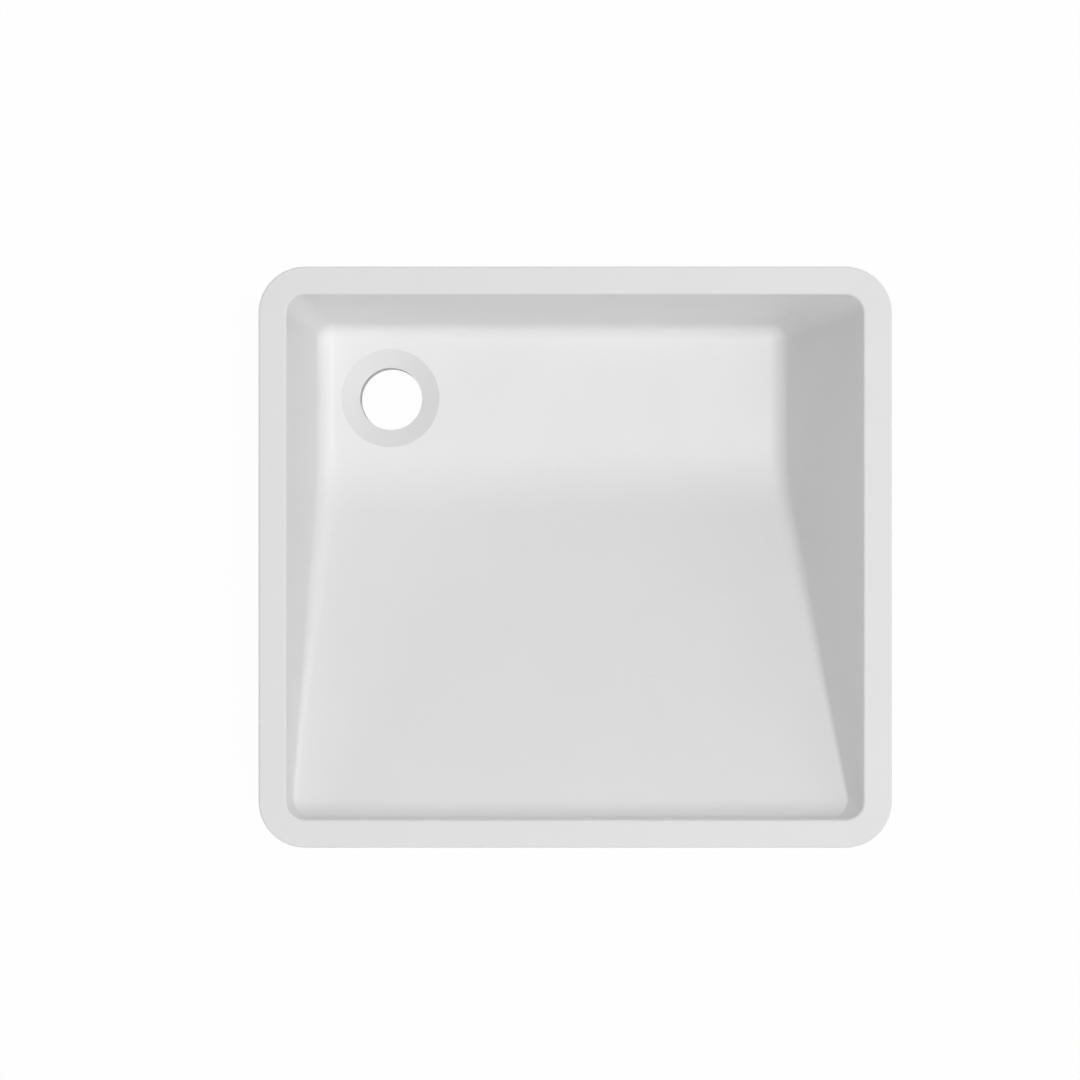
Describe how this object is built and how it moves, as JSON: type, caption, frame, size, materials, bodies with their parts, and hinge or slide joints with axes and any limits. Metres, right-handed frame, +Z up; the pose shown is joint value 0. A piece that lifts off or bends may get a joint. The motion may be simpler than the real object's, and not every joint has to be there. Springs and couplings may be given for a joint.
{
  "type": "undermount bathroom sink",
  "caption": "White rectangular undermount basin with a flat rim, a floor that ramps up to the front, an open drain at the back left and swing-out fixing clips under the rim.",
  "frame": {"origin": "centre of the basin's opening, in the plane of the rim's top face", "axes": "+X to the right and +Y to the back as seen by someone who stands at the basin, +Z up"},
  "size_m": [0.4016, 0.3686, 0.137],
  "materials": {
    "white_cast": "matte white cast mineral and acrylic, fine sanded",
    "clip_steel": "stamped stainless strip",
    "fastener_steel": "bright stainless",
    "insert_brass": "turned brass"
  },
  "bodies": {
    "bowl": {"bowl": "white_cast", "clip_inserts": "insert_brass", "clip_washers": "fastener_steel", "clip_screws": "fastener_steel"},
    "clip_left_back": {"clip_left_back": "clip_steel"},
    "clip_left_front": {"clip_left_front": "clip_steel"},
    "clip_right_back": {"clip_right_back": "clip_steel"},
    "clip_right_front": {"clip_right_front": "clip_steel"},
    "clip_back": {"clip_back": "clip_steel"},
    "clip_front": {"clip_front": "clip_steel"}
  },
  "joints": [
    {"name": "clip_left_back_swing", "type": "hinge", "parent": "bowl", "child": "clip_left_back", "pos_m": [-0.1957, 0.09, -0.0132], "axis": [0, 0, -1], "range_deg": [0, 180]},
    {"name": "clip_left_front_swing", "type": "hinge", "parent": "bowl", "child": "clip_left_front", "pos_m": [-0.1957, -0.09, -0.0132], "axis": [0, 0, 1], "range_deg": [0, 180]},
    {"name": "clip_right_back_swing", "type": "hinge", "parent": "bowl", "child": "clip_right_back", "pos_m": [0.1957, 0.09, -0.0132], "axis": [0, 0, 1], "range_deg": [0, 180]},
    {"name": "clip_right_front_swing", "type": "hinge", "parent": "bowl", "child": "clip_right_front", "pos_m": [0.1957, -0.09, -0.0132], "axis": [0, 0, -1], "range_deg": [0, 180]},
    {"name": "clip_back_swing", "type": "hinge", "parent": "bowl", "child": "clip_back", "pos_m": [-0.016, 0.1792, -0.0132], "axis": [0, 0, 1], "range_deg": [0, 180]},
    {"name": "clip_front_swing", "type": "hinge", "parent": "bowl", "child": "clip_front", "pos_m": [-0.016, -0.1792, -0.0132], "axis": [0, 0, -1], "range_deg": [0, 180]}
  ]
}
